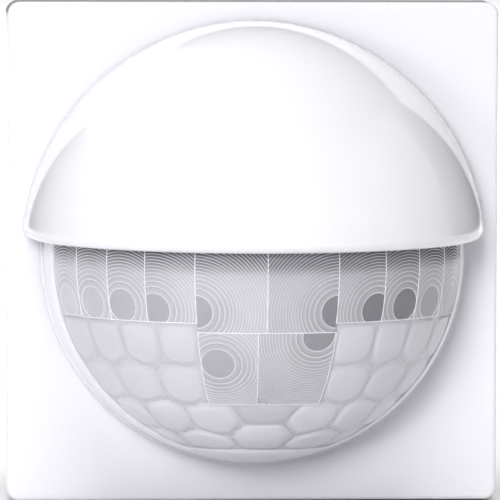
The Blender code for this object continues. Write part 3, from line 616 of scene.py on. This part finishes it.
def rib(lens, start, end):
    """A fine raised line between two facets, along a row's edge or a column's."""
    bm = bmesh.new()
    tone = bm.verts.layers.float.new("tone")
    half = 0.09 * MM
    section = ((-1.0, 0.25 * MM), (-0.8, 0.05 * MM), (-0.35, 0.0), (0.35, 0.0),
               (0.8, 0.05 * MM), (1.0, 0.25 * MM), (0.0, FACET_ROOT))
    steps = 2 + int(max(abs(end[0] - start[0]), abs(end[1] - start[1])) / 1.5)
    rows = []
    ahead = direction(*end) - direction(*start)
    for step in range(steps + 1):
        share = step / steps
        middle = direction(start[0] + (end[0] - start[0]) * share, start[1] + (end[1] - start[1]) * share)
        side = middle.cross(ahead).normalized()
        row = []
        for width, depth in section:
            vert = bm.verts.new(middle * (LENS_RADIUS - depth) + side * half * width)
            vert[tone] = 0.92
            row.append(vert)
        rows.append(row)
    grid_faces(bm, rows, closed_columns=True)
    bm.faces.new(rows[0])
    bm.faces.new(rows[-1])
    gather(lens, bm)


def lens_shell(lens):
    """The bowl behind the facets. Its plain rim stands as high as the facets do."""
    bm = bmesh.new()
    tone = bm.verts.layers.float.new("tone")
    across, upwards = tangents(AXIS)
    limits = (above(FIELD_BOTTOM), IN_FIELD)
    edge = math.acos((CENTRE.y - LENS_BACK) / LENS_RADIUS)
    rows = []
    columns = []
    for step in range(SHELL_BEARINGS):
        turn = 2 * math.pi * step / SHELL_BEARINGS
        along = across * math.cos(turn) + upwards * math.sin(turn)
        field = reach(AXIS, turn, limits)
        field = min(field, math.radians(FIELD_ANGLE))
        column = []
        for ring in range(1, 21):
            column.append((field * (ring / 20), LENS_RADIUS - FIELD_DEPTH, HIDDEN_TONE))
        # the plain rim is painted at full tone: thick white plastic, with painted light of the light passing
        # through the lens
        ramp = math.radians(0.55)
        column.append((field + ramp * 0.3, LENS_RADIUS - 0.12 * MM, 0.75))
        column.append((field + ramp, LENS_RADIUS - 0.01 * MM, 1.0))
        for part in range(1, 9):
            column.append((field + ramp + (edge - field - ramp) * part / 8, LENS_RADIUS, 1.0))
        inner = LENS_RADIUS - LENS_WALL
        inner_edge = math.acos((CENTRE.y - LENS_BACK) / inner)
        for part in range(16):
            column.append((inner_edge * (1 - part / 16), inner, HIDDEN_TONE))
        columns.append([(along, *entry) for entry in column])
    for entries in zip(*columns):
        row = []
        for along, angle, radius, shade in entries:
            vert = bm.verts.new((AXIS * math.cos(angle) + along * math.sin(angle)) * radius)
            vert[tone] = shade
            row.append(vert)
        rows.append(row)
    for depth, entry in ((FIELD_DEPTH, 0), (LENS_WALL, len(rows))):
        tip = bm.verts.new(AXIS * (LENS_RADIUS - depth))
        tip[tone] = HIDDEN_TONE
        rows.insert(entry, [tip] * SHELL_BEARINGS)
    grid_faces(bm, rows, closed_columns=True)
    cut = bmesh.ops.bisect_plane(bm, geom=[*bm.verts, *bm.edges, *bm.faces], dist=1e-7,
                                 plane_co=UP * LENS_TOP, plane_no=UP, clear_outer=True)
    rim = [item for item in cut["geom_cut"] if isinstance(item, bmesh.types.BMEdge)]
    bmesh.ops.holes_fill(bm, edges=rim)
    gather(lens, bm)


def make_lens():
    lens = bmesh.new()
    lens.verts.layers.float.new("tone")
    lens_shell(lens)
    for side in (-1, 1):
        for column, (azimuth, elevation) in enumerate(ROW_CENTRES):
            near, far = side * ROW_EDGES[column], side * ROW_EDGES[column + 1]
            low, high = min(near, far), max(near, far)
            bottom = MIDDLE_BOTTOM if column == 0 else SIDE_BOTTOM
            limits = [left_of(high), right_of(low), above(bottom), below(ROW_TOP), IN_FIELD]
            clear_and_shade = (LEFT_CLEAR_AND_SHADE if side < 0 else RIGHT_CLEAR_AND_SHADE)[column]
            fresnel_facet(lens, direction(side * azimuth, elevation), limits, clear_and_shade)
            rib(lens, (far, ROW_TOP), (far, SIDE_BOTTOM))
            rib(lens, (near, bottom), (far, bottom))
    rib(lens, (0, ROW_TOP), (0, MIDDLE_BOTTOM))
    for column, middle in enumerate(SECOND_CENTRES):
        low, high = SECOND_EDGES[column:column + 2]
        limits = [left_of(high), right_of(low), above(SECOND_BOTTOM), below(MIDDLE_BOTTOM)]
        fresnel_facet(lens, direction(*middle), limits, SECOND_CLEAR_AND_SHADE[column])
    for azimuth in SECOND_EDGES:
        rib(lens, (azimuth, MIDDLE_BOTTOM), (azimuth, SECOND_BOTTOM))
    rib(lens, (SECOND_EDGES[0], SECOND_BOTTOM), (SECOND_EDGES[-1], SECOND_BOTTOM))

    places = [FRONT_FACET, PLAIN_FACET]
    for elevation, row in PILLOW_ROWS:
        for azimuth in row:
            places += [(PILLOW_SHIFT + side * azimuth, elevation) for side in (-1, 1)]
    middles = [direction(*place) for place in places]
    for place, middle in zip(places, middles):
        limits = [nearer(middle, other) for other in middles
                  if other is not middle and middle.dot(other) > math.cos(math.radians(35))]
        limits += [IN_FIELD, above(FIELD_BOTTOM)]
        azimuth, elevation = place
        if elevation > SECOND_BOTTOM:
            limits.append(below(SIDE_BOTTOM))
            limits.append(left_of(SECOND_EDGES[0]) if azimuth < 0 else right_of(SECOND_EDGES[-1]))
        elif abs(azimuth) < 25:
            limits.append(below(SECOND_BOTTOM))
        if place == PLAIN_FACET:
            pillow_facet(lens, middle, limits, drop=0.08 * MM, crown=0.0, shade=0.58)
        else:
            # painted light: the lower facets are lighter, for light that passes through the lens
            pillow_facet(lens, middle, limits, shade=0.62 + 0.45 * max(0.0, -middle.z - 0.5))
    bmesh.ops.translate(lens, vec=CENTRE, verts=lens.verts)
    mesh = bpy.data.meshes.new("lens_dome")
    lens.to_mesh(mesh)
    lens.free()
    mesh.shade_smooth()
    mesh.set_sharp_from_angle(angle=math.radians(32))
    mesh.materials.append(LENS_MILKY)
    piece = bpy.data.objects.new("lens_dome", mesh)
    bpy.context.scene.collection.objects.link(piece)
    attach(piece, "head")
    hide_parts("fresnel_lens")
    return piece


# ---------------------------------------------------------------- control face
# Places on the face are (x, y): x to the right and y up the face, from the foot of the domes' centre.

FACE_TILT = math.radians(45)
FACE_DISTANCE = 22.5 * MM
DIAL_SPACING = 11.0 * MM
DIAL_ROW = -4.0 * MM
ICON_ROW = 3.4 * MM
POSITION_ROW = 11.2 * MM
PRINT_HEIGHT = 0.04 * MM
SCALE_RADIUS = 4.75 * MM
SCALE_TURN = math.radians(135)          # each way from the middle
PRINT_GREY = plastic("print_grey", (0.16, 0.17, 0.18), 0.45, mottle=0.06)


def prism(bm, outline):
    """A flat mark on the control face, a little raised."""
    low = [bm.verts.new((x, y, FACE_DISTANCE - PRINT_HEIGHT)) for x, y in outline]
    high = [bm.verts.new((x, y, FACE_DISTANCE + PRINT_HEIGHT)) for x, y in outline]
    bm.faces.new(high)
    for i in range(len(outline)):
        j = (i + 1) % len(outline)
        bm.faces.new((low[i], low[j], high[j], high[i]))
    bm.faces.new(list(reversed(low)))


def bar(bm, start, end, width):
    start, end = Vector(start), Vector(end)
    side = (end - start).normalized().orthogonal() * width / 2
    prism(bm, [start - side, end - side, end + side, start + side])


def spoke(bm, centre, angle, near, far, width):
    along = Vector((math.cos(angle), math.sin(angle)))
    bar(bm, Vector(centre) + along * near, Vector(centre) + along * far, width)


def band(bm, centre, radius, width, start=0.0, end=2 * math.pi, steps=32):
    """Part of a ring, as a row of short pieces."""
    for step in range(steps):
        angles = [start + (end - start) * (step + more) / steps for more in (0, 1)]
        far, near = radius + width / 2, radius - width / 2
        outer = [(centre[0] + far * math.cos(a), centre[1] + far * math.sin(a)) for a in angles]
        inner = [(centre[0] + near * math.cos(a), centre[1] + near * math.sin(a)) for a in reversed(angles)]
        prism(bm, outer + inner)


def disc(bm, centre, radius):
    prism(bm, arc_points(centre, radius, 0, 2 * math.pi, 24)[:-1])


def make_face_print():
    """Scales round the dials, a pictogram for each and one mark for each place of the mode knob."""
    bm = bmesh.new()
    line = 0.22 * MM
    for column in (-1, 0, 1):
        centre = (column * DIAL_SPACING, DIAL_ROW)
        for step in range(11):
            angle = math.pi / 2 + SCALE_TURN * (step / 5 - 1)
            length = 0.55 * MM if step % 5 else 0.75 * MM
            spoke(bm, centre, angle, SCALE_RADIUS, SCALE_RADIUS + length, line)
    sun = (-DIAL_SPACING, ICON_ROW)
    disc(bm, sun, 0.55 * MM)
    for ray in range(8):
        spoke(bm, sun, ray * math.pi / 4, 0.8 * MM, 1.35 * MM, line)
    source = (0.0, ICON_ROW - 1.1 * MM)
    disc(bm, source, 0.32 * MM)
    for radius in (0.85, 1.5, 2.15):
        band(bm, source, radius * MM, line, math.radians(50), math.radians(130), 12)
    clock = (DIAL_SPACING, ICON_ROW)
    band(bm, clock, 1.25 * MM, line)
    bar(bm, clock, (clock[0], clock[1] + 0.85 * MM), line)
    bar(bm, clock, (clock[0] + 0.6 * MM, clock[1]), line)
    band(bm, (-2.5 * MM, POSITION_ROW), 0.55 * MM, line, steps=20)
    disc(bm, (0.0, POSITION_ROW), 0.5 * MM)
    bar(bm, (2.5 * MM, POSITION_ROW - 0.7 * MM), (2.5 * MM, POSITION_ROW + 0.7 * MM), 0.3 * MM)
    place = Matrix.Translation(CENTRE) @ Matrix.Rotation(FACE_TILT, 4, "X")
    bmesh.ops.transform(bm, matrix=place, verts=bm.verts)
    return shown("face_print", bm, PRINT_GREY, "head", "black_plastic")


PIN_PITCH = 2.54 * MM
PIN_HALF = 0.42 * MM


def make_plug_pins():
    """Plated sleeves over the plug's contacts, with pointed ends."""
    bm = bmesh.new()
    box_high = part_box("plug")[1]
    end, root = Vector(box_high).y, 2.9 * MM
    for column in range(-2, 3):
        x = column * PIN_PITCH
        rows = []
        stations = ((-root + 0.02 * MM, PIN_HALF), (end - 0.35 * MM, PIN_HALF),
                    (end - 0.01 * MM, PIN_HALF / 2))
        for y, half in stations:
            corners = ((-half, -half), (half, -half), (half, half), (-half, half))
            rows.append([bm.verts.new((x + dx, y, dz)) for dx, dz in corners])
        grid_faces(bm, rows, closed_columns=True)
        bm.faces.new(rows[0])
        bm.faces.new(rows[-1])
    return shown("plug_pins", bm, BRASS, "head", "brass")


# ---------------------------------------------------------------- finishes of the CAD nodes

FINISHES = (
    (BASE_WHITE, 0.25, "head_base"),
    (HOUSING_WHITE, 0.25, "control_housing", "terminal_block"),
    (GREY, 0.25, "insert_body", "insert_cover", "retaining_ring", "sensor_bracket"),
    (BLACK, 0.15, "plug", "socket", "relay", "mode_switch", "mode_knob", "signal_chip", "board_link"),
    (BLUE, 0.2, "varistor", "lux_potentiometer", "range_potentiometer", "time_potentiometer"),
    (ORANGE, 0.12, "lux_dial", "range_dial", "time_dial", "release_button_1", "release_button_2",
     "release_button_3"),
    (YELLOW, 0.4, "supply_capacitor"),
    (SLEEVE, 0.1, "smoothing_capacitor"),
    (BROWN, 0.1, "fuse"),
    (WINDOW, 0.1, "light_sensor", "pyro_window_left", "pyro_window_right"),
    (LED_RED, 0.05, "status_led"),
    (BOARD, 0.05, "control_board", "sensor_board", "power_board"),
    (STEEL, 0.1, "support_ring", "claw_left", "claw_right", "claw_screw_left", "claw_screw_right",
     "insert_screw_lower", "insert_screw_upper", "board_screw_1", "board_screw_2", "board_screw_3",
     "board_screw_4", "pyro_can_left", "pyro_can_right"),
    (BRASS, 0.08, "terminal_clamp_1", "terminal_clamp_2", "terminal_clamp_3"),
)


def shading_group(limit):
    """Geometry nodes that shade a mesh smooth, but for the edges that are sharper than the limit."""
    group = bpy.data.node_groups.new("smooth_by_angle", "GeometryNodeTree")
    group.interface.new_socket("Geometry", in_out="INPUT", socket_type="NodeSocketGeometry")
    group.interface.new_socket("Geometry", in_out="OUTPUT", socket_type="NodeSocketGeometry")
    start = group.nodes.new("NodeGroupInput")
    end = group.nodes.new("NodeGroupOutput")
    faces = group.nodes.new("GeometryNodeSetShadeSmooth")
    edges = group.nodes.new("GeometryNodeSetShadeSmooth")
    edges.domain = "EDGE"
    angle = group.nodes.new("GeometryNodeInputMeshEdgeAngle")
    compare = group.nodes.new("FunctionNodeCompare")
    compare.operation = "LESS_EQUAL"
    compare.inputs[1].default_value = limit
    group.links.new(start.outputs[0], faces.inputs[0])
    group.links.new(faces.outputs[0], edges.inputs[0])
    group.links.new(angle.outputs["Unsigned Angle"], compare.inputs[0])
    group.links.new(compare.outputs[0], edges.inputs["Shade Smooth"])
    group.links.new(edges.outputs[0], end.inputs[0])
    return group


def finish_nodes():
    """Gives the CAD nodes that stay their material, and a fine rounding of their sharp edges."""
    smooth = shading_group(math.radians(32))
    for material, rounding, *names in FINISHES:
        for name in names:
            node = nodes[name]
            node.data.materials.clear()
            node.data.materials.append(material)
            weld = node.modifiers.new("Weld", "WELD")
            weld.merge_threshold = 1e-7
            flat = node.modifiers.new("Flat faces", "DECIMATE")
            flat.decimate_type = "DISSOLVE"
            flat.angle_limit = math.radians(0.5)
            bevel = node.modifiers.new("Edges", "BEVEL")
            bevel.width = rounding * MM
            bevel.segments = 2
            bevel.limit_method = "ANGLE"
            bevel.angle_limit = math.radians(40)
            bevel.use_clamp_overlap = True
            shade = node.modifiers.new("Shading", "NODES")
            shade.node_group = smooth


# ---------------------------------------------------------------- studio

FACE = Vector((0, plate_low.y, 0))
CAMERA_AZIMUTH = -4.0
CAMERA_ELEVATION = 4.1
CAMERA_DISTANCE = 1.0
FOCAL_LENGTH = 502.3
CAMERA_ROLL = 0.22                      # degrees, about the line of sight
CAMERA_SHIFT = (-0.0059, 0.0036)
DISPLAY_GAMMA = 0.77                    # below 1, for the contrast of the shadows


def aim(obj, place, target):
    obj.location = place
    obj.rotation_mode = "QUATERNION"
    obj.rotation_quaternion = (target - place).to_track_quat("-Z", "Y")
    bpy.context.scene.collection.objects.link(obj)
    return obj


def make_camera():
    camera = bpy.data.cameras.new("camera")
    camera.lens = FOCAL_LENGTH
    camera.sensor_width = 36.0
    camera.shift_x, camera.shift_y = CAMERA_SHIFT
    camera.clip_start, camera.clip_end = 0.05, 20.0
    obj = bpy.data.objects.new("camera", camera)
    towards = direction(CAMERA_AZIMUTH, CAMERA_ELEVATION)
    aim(obj, FACE + towards * CAMERA_DISTANCE, FACE)
    obj.rotation_quaternion @= Quaternion((0, 0, 1), math.radians(CAMERA_ROLL))
    bpy.context.scene.camera = obj


def softbox(name, place, size, radiance, target=FACE, mirrored=True):
    """A flat light, given by the brightness of its face. If not mirrored, it leaves no highlight."""
    light = bpy.data.lights.new(name, "AREA")
    light.shape = "RECTANGLE"
    light.size, light.size_y = size
    light.energy = radiance * math.pi * size[0] * size[1]
    box = aim(bpy.data.objects.new(name, light), Vector(place), target)
    box.visible_camera = False
    box.visible_glossy = mirrored
    return box


def toward(x, y, z, distance=1.1):
    """The place at a distance from the frame's origin, in a direction."""
    return Vector((x, y, z)).normalized() * distance


LEFT_PANEL = Vector((-0.325, 0.0, 0.594))       # middle of the panel whose reflection shows on the hood


def make_studio():
    floor_mesh = bpy.data.meshes.new("floor")
    bm = bmesh.new()
    place = Matrix.Translation((0, 0, cad_bounds[0].z - 0.2 * MM))
    bmesh.ops.create_grid(bm, x_segments=8, y_segments=8, size=3.0, matrix=place)
    bm.to_mesh(floor_mesh)
    bm.free()
    floor_mesh.materials.append(plastic("floor_pale", (0.82, 0.82, 0.825), 0.8, grain=2 * MM, mottle=0.004))
    floor = bpy.data.objects.new("floor", floor_mesh)
    bpy.context.scene.collection.objects.link(floor)

    softbox("left_softbox", LEFT_PANEL, (1.0, 0.8), 0.59, LEFT_PANEL + Vector((0.89, -0.43, -0.13)))
    softbox("right_softbox", (0.8, -0.05, 0.3), (0.8, 0.8), 0.42)
    softbox("key_softbox", toward(-0.265, -0.927, 0.265, 0.7), (0.19, 0.19), 8.6, mirrored=False)
    softbox("upper_key", toward(-0.20, -0.92, 0.34, 0.7), (0.19, 0.19), 8.8, mirrored=False)
    softbox("left_key", toward(-0.545, -0.839, 0.0, 0.7), (0.156, 0.156), 9.2, mirrored=False)
    softbox("high_softbox", toward(0.0, -0.5, 0.866), (0.4, 0.4), 8.2, mirrored=False)
    softbox("top_softbox", (0.0, -0.15, 1.2), (0.9, 0.9), 0.7, mirrored=False)
    softbox("rear_fill", toward(0.35, 0.9, 0.25), (0.5, 0.5), 1.6, mirrored=False)
    softbox("backdrop_light", (0.0, 1.25, 0.7), (2.6, 1.9), 2.1, Vector((0.0, 1.25, 0.0)), mirrored=False)
    softbox("left_lamp", toward(-0.44, -0.83, 0.34), (0.18, 0.18), 2.0)
    softbox("right_lamp", toward(0.757, -0.592, 0.277), (0.14, 0.14), 0.8)

    world = bpy.data.worlds.new("studio")
    world.use_nodes = True
    background = world.node_tree.nodes["Background"]
    background.inputs["Color"].default_value = (0.95, 0.97, 1.0, 1.0)
    background.inputs["Strength"].default_value = 0.10
    scene = bpy.context.scene
    scene.world = world
    scene.view_settings.view_transform = "Standard"
    scene.view_settings.gamma = DISPLAY_GAMMA


make_hood()
make_cover_plate()
make_lens()
make_face_print()
make_plug_pins()
finish_nodes()
make_camera()
make_studio()

bpy.context.view_layer.update()
